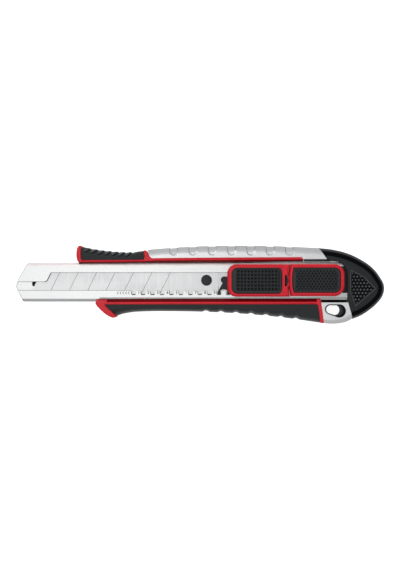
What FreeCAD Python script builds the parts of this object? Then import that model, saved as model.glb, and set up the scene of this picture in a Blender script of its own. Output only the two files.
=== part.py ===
"""Snap-off utility knife with an 18 mm segmented blade, a ratchet slider, a thumb lever and a tail magazine.

Frame, in millimetres: the knife lies on its back. +X runs from the nose to the tail, +Y from the cutting edge
to the spine, and +Z from the back face to the slider. The origin is under the middle of the overall box.
The driving dimensions are the cells of the spreadsheet "Dims"; every feature reads them by alias.
"""
import FreeCAD, Part
import os
import Sketcher
from FreeCAD import Placement, Rotation, Vector

DRIVING = {
    # sheet-steel blade channel, a C-section open to the front
    "channel_low": -9.3, "channel_high": 11.7, "channel_back": 8.2, "channel_front": 14.0,
    "sheet": 0.8, "bend": 1.7, "bend_low": 2.0, "nose": -100.0, "channel_rear": 82.0,
    "lip_high": 6.4, "lip_low": -3.15, "nose_lip": 1.5, "nose_step": -91.2, "nose_raise": 3.4,
    "rack_first": -37.1, "rack_pitch": 5.13, "rack_count": 11, "notch_width": 2.55, "notch_depth": 2.5,
    "rivet_first": -56.0, "rivet_pitch": 18.0, "rivet_count": 3, "rivet_radius": 1.5, "rivet_head": 2.6,
    # segmented blade
    "blade_tip": -93.4, "blade_length": 103.0, "blade_low": -7.8, "blade_width": 18.0, "blade_thick": 0.5,
    "blade_level": 12.5, "blade_slant": 9.0, "segment": 10.0, "score_width": 0.28, "score_depth": 0.16,
    "edge_bevel": 2.0,
    # blade carrier and the peg through the blade
    "peg_along": 3.5, "peg_across": 2.3, "peg_radius": 2.9, "peg_top": 13.75,
    "carrier_low": -8.0, "carrier_high": 10.4, "carrier_floor": 9.25, "carrier_top": 12.9,
    "carrier_front": 10.12, "carrier_rear": 77.0, "neck_low": -2.4, "neck_high": 6.4, "neck_front": 24.2,
    # slider frame and rear release lever
    "slider_base": 14.2, "slider_top": 19.4, "slider_front": 14.7, "slider_rear": 48.4,
    "slider_low": -6.6, "slider_high": 10.9, "pad_floor": 16.6, "pad_top": 19.5,
    "hinge_along": 46.75, "hinge_level": 16.9, "hinge_radius": 0.5, "knuckle_radius": 1.0,
    "lever_front": 47.7, "lever_rear": 77.6, "lever_low": -6.3, "lever_high": 11.0,
    "spring_along": 66.0, "spring_radius": 1.9, "spring_wire": 0.4, "spring_seat": 9.9, "spring_turns": 4.0,
    # handle casting, trims and soft grips
    "trough_low": -9.6, "trough_high": 12.0, "casting_back": 0.8, "casting_front": 15.6,
    "floor_back": 1.2, "floor_front": 3.0, "bed": 8.1, "magazine_front": -17.0, "core_back": 3.6,
    "core_front": 13.4, "core_high": 15.2, "core_low": -12.4, "trim_back": 0.3, "trim_front": 16.6,
    "grip_front": 16.1, "edge_round": 4.0, "spigot_rear": 82.0, "spigot_high": 13.6, "spigot_back": 2.0,
    # tail cap
    "cap_front": 16.6, "cap_wall": 1.8, "cap_roof": 14.3, "tail": 100.0, "cap_round": 2.4,
    # magazine
    "tray_low": -9.3, "tray_high": 11.7, "tray_floor": 3.1, "tray_wall": 1.0, "tray_rear": 81.5,
    "spare_rear": 88.0, "spare_level": 6.2, "spare_pitch": 0.55,
}

doc = FreeCAD.newDocument("UtilityKnife")
sheet = doc.addObject("Spreadsheet::Sheet", "Dims")
for row, (alias, value) in enumerate(DRIVING.items(), 1):
    sheet.set(f"A{row}", alias)
    sheet.set(f"B{row}", str(value))
    sheet.setAlias(f"B{row}", alias)
doc.recompute()

NODES = []


def dim(alias):
    """The value of a driving dimension, read from the sheet."""
    return float(sheet.get(alias))


def node(obj, label):
    """Marks an object as a finished sub-part; its Label names its file."""
    obj.Label = label
    NODES.append(obj)
    return obj


# ---- PartDesign helpers ------------------------------------------------------------------------------------

def new_body(label):
    return node(doc.addObject("PartDesign::Body", label), label)


def sketch(body, plane, level="0"):
    """A sketch on one of the body's own origin planes, moved along the plane's normal by an expression."""
    made = body.newObject("Sketcher::SketchObject", body.Label + "_sketch")
    base = next(f for f in body.Origin.OriginFeatures if f.Role == plane)
    made.AttachmentSupport = [(base, "")]
    made.MapMode = "FlatFace"
    made.setExpression("AttachmentOffset.Base.z", level)
    return made


def trace(sk, start, *steps):
    """A closed outline: a step of one point is a line, of two an arc through the first, of more a curve."""
    here = start
    for step in steps:
        points = [Vector(p[0], p[1], 0) for p in [here, *step]]
        if len(step) == 1:
            sk.addGeometry(Part.LineSegment(*points))
        elif len(step) == 2:
            sk.addGeometry(Part.Arc(*points))
        else:
            curve = Part.BSplineCurve()
            curve.interpolate(points)
            sk.addGeometry(curve)
        here = step[-1]
    if here != start:
        sk.addGeometry(Part.LineSegment(Vector(here[0], here[1], 0), Vector(start[0], start[1], 0)))


def rectangle(sk, x0, x1, y0, y1):
    """A rectangle whose four sides are bound to expressions."""
    a, b, c, d = (float(sheet.evalExpression(e)) for e in (x0, x1, y0, y1))
    corners = [Vector(a, c, 0), Vector(b, c, 0), Vector(b, d, 0), Vector(a, d, 0)]
    for i in range(4):
        sk.addGeometry(Part.LineSegment(corners[i], corners[(i + 1) % 4]))
    for i in range(4):
        sk.addConstraint(Sketcher.Constraint("Coincident", i, 2, (i + 1) % 4, 1))
    for i, kind in enumerate(("Horizontal", "Vertical", "Horizontal", "Vertical")):
        sk.addConstraint(Sketcher.Constraint(kind, i))
    places = (
        ("DistanceX", 0, a, x0), ("DistanceY", 0, c, y0), ("DistanceX", 2, b, x1), ("DistanceY", 2, d, y1),
    )
    for kind, line, value, expression in places:
        number = sk.addConstraint(Sketcher.Constraint(kind, -1, 1, line, 1, value))
        sk.setExpression(f"Constraints[{number}]", expression)


def circle(sk, x, y, radius):
    """A circle whose centre and radius are bound to expressions."""
    cx, cy, r = (float(sheet.evalExpression(e)) for e in (x, y, radius))
    sk.addGeometry(Part.Circle(Vector(cx, cy, 0), Vector(0, 0, 1), r))
    bound = (
        (Sketcher.Constraint("DistanceX", -1, 1, 0, 3, cx), x),
        (Sketcher.Constraint("DistanceY", -1, 1, 0, 3, cy), y),
        (Sketcher.Constraint("Radius", 0, r), radius),
    )
    for constraint, expression in bound:
        sk.setExpression(f"Constraints[{sk.addConstraint(constraint)}]", expression)


def feature(body, kind, sk, length, reverse=False):
    """A Pad or Pocket of a sketch: a pad along the plane's normal, a pocket against it, unless reversed."""
    before = body.Shape.Volume if body.Tip else 0.0
    made = body.newObject("PartDesign::" + kind, body.Label + "_" + kind)
    made.Profile = sk
    made.setExpression("Length", length)
    made.Reversed = reverse
    sk.Visibility = False
    doc.recompute()
    changed = body.Shape.Volume - before
    if (kind == "Pad") != (changed > 1e-6):
        raise ValueError(f"{body.Label}: {made.Name} changed the volume by {changed:.4f}")
    return made


def along_x(body, base, occurrences, pitch):
    """Repeats a feature along +X."""
    pattern = body.newObject("PartDesign::LinearPattern", body.Label + "_pattern")
    pattern.Originals = [base]
    pattern.Direction = (base.Profile[0], ["H_Axis"])
    pattern.Occurrences = int(dim(occurrences))
    pattern.setExpression("Length", f"Dims.{pitch} * (Dims.{occurrences} - 1)")
    body.Tip = pattern
    doc.recompute()


def round_edges(body, radius, chosen, kind="Fillet"):
    """Rounds or chamfers the edges for which chosen(edge) is true."""
    names = [f"Edge{i}" for i, edge in enumerate(body.Shape.Edges, 1) if chosen(edge)]
    last = body.Tip
    made = body.newObject("PartDesign::" + kind, body.Label + "_" + kind)
    made.Base = (last, names)
    made.setExpression("Radius" if kind == "Fillet" else "Size", radius)
    body.Tip = made
    doc.recompute()


def at_level(level, within=None):
    """Picks edges that lie at one Z, and whose middle is in a box ((x0, x1), (y0, y1)) if one is given."""
    def chosen(edge):
        box = edge.BoundBox
        if abs(box.ZMin - level) > 1e-4 or abs(box.ZMax - level) > 1e-4:
            return False
        if within is None:
            return True
        middle = edge.valueAt((edge.FirstParameter + edge.LastParameter) / 2)
        (x0, x1), (y0, y1) = within
        return x0 < middle.x < x1 and y0 < middle.y < y1
    return chosen


# ---- Part helpers ------------------------------------------------------------------------------------------

def block(name, x, y, z):
    """A Part::Box between pairs of expressions."""
    made = doc.addObject("Part::Box", name)
    for axis, size, (low, high) in zip("xyz", ("Length", "Width", "Height"), (x, y, z)):
        made.setExpression(f"Placement.Base.{axis}", low)
        made.setExpression(size, f"({high}) - ({low})")
    return made


def upright(name, x, y, z, radius):
    """A Part::Cylinder along Z between a pair of expressions."""
    made = doc.addObject("Part::Cylinder", name)
    made.setExpression("Placement.Base.x", x)
    made.setExpression("Placement.Base.y", y)
    made.setExpression("Placement.Base.z", z[0])
    made.setExpression("Height", f"({z[1]}) - ({z[0]})")
    made.setExpression("Radius", radius)
    return made


def crosswise(name, x, z, y, radius):
    """A Part::Cylinder along Y between a pair of expressions."""
    made = doc.addObject("Part::Cylinder", name)
    made.Placement = Placement(Vector(0, 0, 0), Rotation(Vector(1, 0, 0), -90))
    made.setExpression("Placement.Base.x", x)
    made.setExpression("Placement.Base.y", y[0])
    made.setExpression("Placement.Base.z", z)
    made.setExpression("Height", f"({y[1]}) - ({y[0]})")
    made.setExpression("Radius", radius)
    return made


def fuse(name, *pieces):
    made = doc.addObject("Part::MultiFuse", name)
    made.Shapes = list(pieces)
    made.Refine = True
    return made


def cut(name, base, tool):
    made = doc.addObject("Part::Cut", name)
    made.Base = base
    made.Tool = tool
    made.Refine = True
    return made


def slab(name, back, front, start, *steps):
    """An outline in XY extruded between two levels, as a hidden body that booleans use."""
    made = doc.addObject("PartDesign::Body", name)
    made.Label = name
    sk = sketch(made, "XY_Plane", back)
    trace(sk, start, *steps)
    feature(made, "Pad", sk, f"({front}) - ({back})")
    return made


# ---- blade channel -----------------------------------------------------------------------------------------

def channel_section(sk):
    """The C-section in YZ, its lips as wide as the upper one is at the nose; the rack's fold is widest."""
    low, high, back, front = (dim("channel_" + side) for side in ("low", "high", "back", "front"))
    t, r, w = dim("sheet"), dim("bend"), dim("bend_low")
    n, m = r * 0.7071, (r - t) * 0.7071
    p, q = w * 0.7071, (w - t) * 0.7071
    trace(
        sk, (dim("nose_lip"), front), [(high - r, front)],
        [(high - r + n, front - r + n), (high, front - r)], [(high, back + r)],
        [(high - r + n, back + r - n), (high - r, back)], [(low + r, back)],
        [(low + r - n, back + r - n), (low, back + r)], [(low, front - w)],
        [(low + w - p, front - w + p), (low + w, front)], [(dim("lip_low"), front)],
        [(dim("lip_low"), front - t)], [(low + w, front - t)],
        [(low + w - q, front - w + q), (low + t, front - w)], [(low + t, back + r)],
        [(low + r - m, back + r - m), (low + r, back + t)], [(high - r, back + t)],
        [(high - r + m, back + r - m), (high - t, back + r)], [(high - t, front - r)],
        [(high - r + m, front - r + m), (high - r, front - t)], [(dim("nose_lip"), front - t)],
    )


def make_channel():
    body = new_body("blade_channel")
    sk = sketch(body, "YZ_Plane", "Dims.nose")
    channel_section(sk)
    feature(body, "Pad", sk, "Dims.channel_rear - Dims.nose")
    # the floor is raised at the nose, under the blade
    sk = sketch(body, "XY_Plane", "Dims.channel_back + Dims.sheet - 0.2")
    rectangle(sk, "Dims.nose", "Dims.nose_step", "-6.5", "7.0")
    feature(body, "Pad", sk, "Dims.nose_raise + 0.2")
    sk = sketch(body, "XY_Plane", "Dims.channel_back")
    rectangle(sk, "Dims.nose - 1", "Dims.nose_step - Dims.sheet", "-5.7", "6.2")
    feature(body, "Pocket", sk, "Dims.nose_raise", reverse=True)
    # the raised floor slopes back down under the blade
    sk = sketch(body, "XZ_Plane", "-7.0")
    step, floor = dim("nose_step"), dim("channel_back") + dim("sheet")
    trace(
        sk, (step - 0.2, floor - 0.2), [(step + 3.0, floor - 0.2)], [(step + 3.0, floor)],
        [(step, floor + dim("nose_raise"))], [(step - 0.2, floor + dim("nose_raise"))],
    )
    feature(body, "Pad", sk, "13.5")
    # behind the nose the upper lip is narrow
    sk = sketch(body, "XY_Plane", "Dims.channel_front")
    lip, edge, rear = dim("nose_lip") - 0.1, dim("lip_high"), dim("channel_rear") + 1
    trace(sk, (-83.7, lip), [(-82.9, 1.9), (-82.5, 2.4)], [(-80.5, edge)], [(rear, edge)], [(rear, lip)])
    feature(body, "Pocket", sk, "Dims.sheet + 0.2")
    # the rack: notches in the lower lip's free edge, upright towards the nose and rounded towards the tail
    sk = sketch(body, "XY_Plane", "Dims.channel_front")
    left, right = dim("rack_first"), dim("rack_first") + dim("notch_width")
    top, base = dim("lip_low") + 0.2, dim("lip_low") - dim("notch_depth")
    trace(
        sk, (left, top), [(left, base + 0.8)], [(left + 0.23, base + 0.23), (left + 0.8, base)],
        [(right - 0.7, base)], [(right - 0.2, base + 0.2), (right, base + 0.7)], [(right, top - 1.2)],
        [(right + 0.29, top - 0.49), (right + 1.0, top - 0.2)], [(right + 1.0, top)],
    )
    notch = feature(body, "Pocket", sk, "Dims.sheet + 0.2")
    along_x(body, notch, "rack_count", "rack_pitch")
    # pointed nose in plan
    sk = sketch(body, "XY_Plane", "Dims.channel_front + 0.5")
    trace(
        sk, (-92.76, 13.0), [(-98.8, 2.4)], [(-100.0, -1.0), (-98.6, -4.3)], [(-94.9, -11.0)],
        [(-102.0, -11.0)], [(-102.0, 13.0)],
    )
    feature(body, "Pocket", sk, "8")
    # rivet holes in the floor
    sk = sketch(body, "XY_Plane", "Dims.channel_back + Dims.sheet")
    circle(sk, "Dims.rivet_first", "1.2", "Dims.rivet_radius")
    hole = feature(body, "Pocket", sk, "Dims.sheet")
    along_x(body, hole, "rivet_count", "rivet_pitch")


# ---- blade -------------------------------------------------------------------------------------------------

def blade_outline(sk, tip):
    """Parallelogram nose, square tail with one clipped corner."""
    low, high = dim("blade_low"), dim("blade_low") + dim("blade_width")
    tail = tip + dim("blade_length")
    trace(
        sk, (tip, low), [(tail, low)], [(tail, high - 1.5)], [(tail - 1.5, high)],
        [(tip + dim("blade_slant"), high)],
    )


def make_blade():
    body = new_body("blade")
    sk = sketch(body, "XY_Plane", "Dims.blade_level")
    blade_outline(sk, dim("blade_tip"))
    feature(body, "Pad", sk, "Dims.blade_thick")
    sk = sketch(body, "XY_Plane", "Dims.blade_level + Dims.blade_thick")
    circle(sk, "Dims.peg_along", "Dims.peg_across", "Dims.peg_radius + 0.2")
    feature(body, "Pocket", sk, "Dims.blade_thick")
    # ground bevels along the cutting edge, one on each face
    low, bevel, level = dim("blade_low"), dim("edge_bevel"), dim("blade_level")
    for face, depth in ((level + dim("blade_thick"), -0.22), (level, 0.22)):
        sk = sketch(body, "YZ_Plane", "Dims.blade_tip - 1")
        trace(sk, (low - 0.1, face + depth), [(low + bevel, face)], [(low - 0.1, face)])
        feature(body, "Pocket", sk, "Dims.blade_length + 2", reverse=True)
    # snap lines, one segment apart
    sk = sketch(body, "XY_Plane", "Dims.blade_level + Dims.blade_thick")
    high, width = low + dim("blade_width"), dim("score_width")
    first = dim("blade_tip") + dim("segment")
    slant = dim("blade_slant")
    trace(sk, (first, low), [(first + width, low)], [(first + width + slant, high)], [(first + slant, high)])
    score = feature(body, "Pocket", sk, "Dims.score_depth")
    pattern = body.newObject("PartDesign::LinearPattern", "blade_pattern")
    pattern.Originals = [score]
    pattern.Direction = (sk, ["H_Axis"])
    pattern.Occurrences = 7
    pattern.setExpression("Length", "Dims.segment * 6")
    body.Tip = pattern
    doc.recompute()


# ---- blade carrier, peg, springs ---------------------------------------------------------------------------

def make_carrier():
    tongue = block(
        "carrier_tongue", ("Dims.peg_along - 5", "Dims.carrier_front + 1"),
        ("Dims.peg_across - 3.8", "Dims.peg_across + 3.8"), ("Dims.carrier_floor", "Dims.blade_level - 0.1"),
    )
    main = block(
        "carrier_main", ("Dims.carrier_front", "Dims.carrier_rear"),
        ("Dims.carrier_low", "Dims.carrier_high"),
        ("Dims.carrier_floor", "Dims.carrier_top"),
    )
    neck = block(
        "carrier_neck", ("Dims.neck_front", "45"), ("Dims.neck_low", "Dims.neck_high"),
        ("Dims.carrier_floor", "Dims.slider_base"),
    )
    whole = fuse("carrier_blank", tongue, main, neck)
    peg_seat = upright(
        "carrier_peg_seat", "Dims.peg_along", "Dims.peg_across", ("Dims.carrier_floor", "Dims.blade_level"),
        "Dims.peg_radius - 0.9",
    )
    spring_seat = upright(
        "carrier_spring_seat", "Dims.spring_along", "Dims.peg_across",
        ("Dims.spring_seat", "Dims.slider_base"),
        "Dims.spring_radius + 0.6",
    )
    bow_seat = block("carrier_bow_seat", ("27", "63"), ("-1.2", "5.8"), ("Dims.carrier_floor - 0.1", "10.7"))
    screws = [
        upright(f"carrier_screw_seat{i}", str(x), "Dims.peg_across", ("10.9", "14.5"), "1.0")
        for i, x in enumerate((28, 41))
    ]
    holes = fuse("carrier_holes", peg_seat, spring_seat, bow_seat, *screws)
    drilled = cut("carrier_drilled", whole, holes)
    doc.recompute()
    softened = doc.addObject("Part::Chamfer", "carrier_chamfer")
    softened.Base = drilled
    long_edges = [
        (i, 0.35, 0.35) for i, e in enumerate(drilled.Shape.Edges, 1)
        if e.BoundBox.XLength > 60 and e.BoundBox.YLength < 1e-4
    ]
    softened.Edges = long_edges
    node(softened, "blade_carrier")


def make_peg():
    """A domed peg that stands in the carrier's tongue and comes up through the blade's hole."""
    body = new_body("blade_peg")
    body.Placement = Placement(Vector(dim("peg_along"), dim("peg_across"), 0), Rotation())
    sk = sketch(body, "XZ_Plane")
    r, shank = dim("peg_radius"), dim("peg_radius") - 0.9
    floor, seat, top = dim("carrier_floor"), dim("blade_level") - 0.1, dim("peg_top")
    trace(
        sk, (0, floor), [(shank, floor)], [(shank, seat)], [(r, seat)], [(r, top - 0.55)],
        [(r - 0.16, top - 0.2), (r - 0.6, top - 0.1)], [(r * 0.5, top - 0.03), (0.4, top)], [(0, top)],
    )
    made = body.newObject("PartDesign::Revolution", "peg_turn")
    made.Profile = sk
    made.ReferenceAxis = (sk, ["V_Axis"])
    made.Angle = 360
    doc.recompute()


def make_ratchet():
    """A flat moulded latch: a round nose and two springy legs whose feet sit in neighbouring rack notches."""
    level = "Dims.channel_front - Dims.sheet + 0.05"
    top = "Dims.channel_front - 0.05"
    first = dim("rack_first") + 9 * dim("rack_pitch") + dim("notch_width") / 2
    second = first + dim("rack_pitch")
    foot = dim("lip_low") - dim("notch_depth") + 1.05
    nose = upright("ratchet_nose", "13.1", "2.5", (level, top), "1.85")
    feet = [
        upright(f"ratchet_foot{i}", str(x), str(foot), (level, top), "0.95")
        for i, x in enumerate((first, second))
    ]
    web = slab(
        "ratchet_web", level, top, (12.2, 0.9), [(first - 0.75, foot + 0.55)], [(first + 0.7, foot + 0.6)],
        [(first + 1.1, -3.05), (first + 2.55, -2.75)], [(second - 1.15, -3.05), (second - 0.75, foot + 0.55)],
        [(second + 0.85, foot + 0.4)], [(second + 1.6, -0.6)], [(24.2, -0.6)], [(24.2, 4.3)], [(13.1, 4.3)],
    )
    node(fuse("ratchet_spring", nose, web, *feet), "ratchet_spring")


def make_bow(label, x0, x1, y0, y1, low, rise, thick):
    """A bowed leaf spring: a strip that arches along X between two levels."""
    body = new_body(label)
    sk = sketch(body, "XZ_Plane", str(-y1))
    middle = (x0 + x1) / 2
    trace(
        sk, (x0, low), [(middle, low + rise), (x1, low)], [(x1, low + thick)],
        [(middle, low + rise + thick), (x0, low + thick)],
    )
    feature(body, "Pad", sk, str(y1 - y0))


def make_coil():
    """The lever's return spring: a round-wire helix, its ends bare."""
    spring = doc.addObject("Part::Feature", "lever_spring")
    radius, wire = dim("spring_radius") - dim("spring_wire") / 2, dim("spring_wire")
    base, height = dim("spring_seat") + wire * 0.6, 4.3
    path = Part.makeHelix(height / dim("spring_turns"), height, radius)
    ring = Part.Wire([Part.Circle(Vector(radius, 0, 0), Vector(0, 1, 0), wire / 2).toShape()])
    coil = Part.Wire(path).makePipeShell([ring], True, True)
    spring.Shape = coil
    spring.Placement = Placement(Vector(dim("spring_along"), dim("peg_across"), base), Rotation())
    node(spring, "lever_spring")


# ---- slider ------------------------------------------------------------------------------------------------

def slider_outline(sk):
    """Rounded towards the nose; the tail side is hollowed to clear the lever's bowed front."""
    x0, x1, y0, y1 = (dim("slider_" + side) for side in ("front", "rear", "low", "high"))
    mid, r = (y0 + y1) / 2, 5.0
    trace(
        sk, (x0 + r, y1), [(x0 + r * 0.292893, y1 - r * 0.292893), (x0, y1 - r)], [(x0, y0 + r)],
        [(x0 + r * 0.292893, y0 + r * 0.292893), (x0 + r, y0)], [(x1, y0)], [(x1 - 1.05, mid), (x1, y1)],
    )


def slider_pad_outline(sk, gap):
    """The soft pad of the slider, inside the red rim."""
    x0, x1 = 16.9 + gap, 44.6 - gap
    y0, y1, r = -5.0 + gap, 9.0 - gap, 3.2
    trace(
        sk, (x0 + r, y1), [(x0 + r * 0.292893, y1 - r * 0.292893), (x0, y1 - r)], [(x0, y0 + r)],
        [(x0 + r * 0.292893, y0 + r * 0.292893), (x0 + r, y0)], [(x1, y0)], [(x1, y1)],
    )


def make_slider():
    body = new_body("slider_frame")
    sk = sketch(body, "XY_Plane", "Dims.slider_base")
    slider_outline(sk)
    feature(body, "Pad", sk, "Dims.slider_top - Dims.slider_base")
    round_edges(body, "1.3", at_level(dim("slider_top")))
    sk = sketch(body, "XY_Plane", "Dims.slider_top")
    slider_pad_outline(sk, 0.0)
    feature(body, "Pocket", sk, "Dims.slider_top - Dims.pad_floor")
    # the slot that takes the lever's knuckle, and the hinge bore across it
    sk = sketch(body, "XY_Plane", "Dims.slider_top")
    rectangle(sk, "Dims.hinge_along - 1.25", "Dims.slider_rear + 1", "-1.05", "5.2")
    feature(body, "Pocket", sk, "Dims.slider_top - Dims.slider_base")
    sk = sketch(body, "XZ_Plane", "-7.8")
    circle(sk, "Dims.hinge_along", "Dims.hinge_level", "Dims.hinge_radius + 0.02")
    feature(body, "Pocket", sk, "11.4", reverse=True)
    for x in (28, 41):
        sk = sketch(body, "XY_Plane", "Dims.pad_floor")
        circle(sk, str(x), "Dims.peg_across", "2.1")
        feature(body, "Pocket", sk, "1.3")
        sk = sketch(body, "XY_Plane", "Dims.pad_floor")
        circle(sk, str(x), "Dims.peg_across", "1.25")
        feature(body, "Pocket", sk, "Dims.pad_floor - Dims.slider_base")

    body = new_body("slider_pad")
    sk = sketch(body, "XY_Plane", "Dims.pad_floor")
    slider_pad_outline(sk, 0.05)
    feature(body, "Pad", sk, "Dims.pad_top - Dims.pad_floor")
    round_edges(body, "0.5", at_level(dim("pad_top")))

    screws = []
    for i, x in enumerate((28, 41)):
        levels = ("Dims.pad_floor - 1.3", "Dims.pad_floor")
        head = upright(f"screw_head{i}", str(x), "Dims.peg_across", levels, "2.0")
        shank = upright(f"screw_shank{i}", str(x), "Dims.peg_across", ("10.95", "Dims.pad_floor - 1"), "0.98")
        drive = block(
            f"screw_drive{i}", (f"{x} - 1.4", f"{x} + 1.4"),
            ("Dims.peg_across - 0.25", "Dims.peg_across + 0.25"),
            ("Dims.pad_floor - 0.7", "Dims.pad_floor + 0.1"),
        )
        screws.append(cut(f"screw{i}", fuse(f"screw_blank{i}", head, shank), drive))
    node(doc.addObject("Part::Compound", "slider_screws"), "slider_screws").Links = screws


# ---- release lever -----------------------------------------------------------------------------------------

def lever_outline(sk):
    x0, x1, y0, y1 = (dim("lever_" + side) for side in ("front", "rear", "low", "high"))
    mid, r = (y0 + y1) / 2, 5.6
    trace(
        sk, (x0 + 1.2, y1), [(x0, mid), (x0 + 1.2, y0)], [(x1 - r, y0)],
        [(x1 - r * 0.292893, y0 + r * 0.292893), (x1, y0 + r)], [(x1, y1 - r)],
        [(x1 - r * 0.292893, y1 - r * 0.292893), (x1 - r, y1)],
    )


def lever_pad_outline(sk, gap):
    x0, x1, y0, y1 = 49.3 + gap, 75.6 - gap, -4.45 + gap, 9.15 - gap
    mid, r = (y0 + y1) / 2, 3.3
    trace(
        sk, (x0 + 0.9, y1), [(x0, mid), (x0 + 0.9, y0)], [(x1 - r, y0)],
        [(x1 - r * 0.292893, y0 + r * 0.292893), (x1, y0 + r)], [(x1, y1 - r)],
        [(x1 - r * 0.292893, y1 - r * 0.292893), (x1 - r, y1)],
    )


def make_lever():
    plate = doc.addObject("PartDesign::Body", "lever_plate")
    sk = sketch(plate, "XY_Plane", "Dims.slider_base + 0.2")
    lever_outline(sk)
    feature(plate, "Pad", sk, "Dims.slider_top - Dims.slider_base - 0.2")
    round_edges(plate, "1.3", at_level(dim("slider_top")))
    sk = sketch(plate, "XY_Plane", "Dims.slider_top")
    lever_pad_outline(sk, 0.0)
    feature(plate, "Pocket", sk, "Dims.slider_top - Dims.pad_floor - 0.8")
    # the underside rises towards the tail, so that the lever has room to be pressed
    sk = sketch(plate, "XZ_Plane", "-12")
    base, rear = dim("slider_base"), dim("lever_rear")
    trace(sk, (49.5, base), [(rear + 1, base)], [(rear + 1, base + 1.95)], [(50.0, base + 0.2)])
    feature(plate, "Pocket", sk, "20", reverse=True)
    arm = block(
        "lever_arm", ("Dims.hinge_along", "Dims.lever_front + 1.2"), ("-0.8", "4.95"),
        ("Dims.hinge_level - Dims.knuckle_radius", "Dims.hinge_level + Dims.knuckle_radius"),
    )
    knuckle = crosswise(
        "lever_knuckle", "Dims.hinge_along", "Dims.hinge_level", ("-0.8", "4.95"), "Dims.knuckle_radius",
    )
    post = upright("lever_post", "Dims.spring_along", "Dims.peg_across", ("13.4", "Dims.pad_floor"), "1.1")
    bore = crosswise(
        "lever_bore", "Dims.hinge_along", "Dims.hinge_level", ("-2", "7"), "Dims.hinge_radius + 0.03",
    )
    node(cut("lever_frame", fuse("lever_blank", plate, arm, knuckle, post), bore), "lever_frame")

    body = new_body("lever_pad")
    sk = sketch(body, "XY_Plane", "Dims.pad_floor + 0.8")
    lever_pad_outline(sk, 0.05)
    feature(body, "Pad", sk, "Dims.pad_top - Dims.pad_floor - 0.8")
    round_edges(body, "0.5", at_level(dim("pad_top")))

    ends = ("-3.55", "7.75")
    pin = crosswise("lever_pin", "Dims.hinge_along", "Dims.hinge_level", ends, "Dims.hinge_radius")
    node(pin, "lever_pin")


# ---- handle ------------------------------------------------------------------------------------------------

def bar_steps(tail, slope_low, slope_high):
    """The upper trim's long bar: low and high edges rise a little towards the tail."""
    return (
        [(tail - 1.1, slope_low)], [(tail, (slope_low + slope_high) / 2), (tail - 1.1, slope_high)],
        [(10.0, 14.9)], [(-26.6, 14.45)], [(-30.2, 13.9)], [(-65.9, 13.9)],
    )


def make_upper_trim():
    front = ("Dims.core_front", "Dims.trim_front")
    back = ("Dims.trim_back", "Dims.core_back")
    bars = [
        slab(f"upper_bar{i}", low, high, (-65.6, 11.85), *bar_steps(55.8, 12.5, 15.1))
        for i, (low, high) in enumerate((front, back))
    ]
    whole = ("Dims.trim_back", "Dims.trim_front")
    nose = slab(
        "upper_nose_post", *whole, (-65.6, 11.85), [(-66.75, 14.2), (-66.9, 17.0)],
        [(-66.6, 19.9), (-65.7, 21.3)], [(-64.9, 21.2), (-64.5, 20.7)], [(-64.5, 11.85)],
    )
    tail = slab(
        "upper_tail_post", *whole, (-30.3, 13.0), [(-30.3, 18.65)], [(-28.5, 18.95)], [(-26.6, 13.0)],
    )
    shell = fuse("upper_trim_blank", *bars, nose, tail)
    core = block(
        "upper_core", ("-63.5", "-26"), ("Dims.trough_high", "Dims.core_high"),
        ("Dims.core_back", "Dims.core_front"),
    )
    return node(cut("upper_trim", shell, core), "upper_trim")


def make_lower_trim():
    front = ("Dims.core_front", "Dims.trim_front - 0.2")
    back = ("Dims.trim_back", "Dims.core_back")
    bars = [
        slab(f"lower_bar{i}", low, high, (-54.0, -9.45), [(65.2, -9.4)], [(64.9, -10.75)], [(-51.9, -11.15)])
        for i, (low, high) in enumerate((front, back))
    ]
    whole = ("Dims.trim_back", "Dims.trim_front - 0.2")
    nose = slab(
        "lower_nose_post", *whole, (-54.3, -9.45), [(-55.6, -9.5), (-56.8, -10.4)],
        [(-55.1, -12.9), (-50.8, -16.5), (-48.6, -17.7), (-47.0, -18.2)], [(-45.9, -17.95), (-45.3, -17.35)],
        [(-51.9, -11.1)], [(-50.4, -9.45)],
    )
    tail = slab(
        "lower_tail_post", *whole, (63.8, -10.6), [(64.9, -20.7)], [(66.85, -20.95)], [(65.2, -9.4)],
        [(63.6, -9.4)],
    )
    shell = fuse("lower_trim_blank", *bars, nose, tail)
    core = block(
        "lower_core", ("-52", "66.5"), ("Dims.core_low", "Dims.trough_low"),
        ("Dims.core_back", "Dims.core_front"),
    )
    return node(cut("lower_trim", shell, core), "lower_trim")


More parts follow.
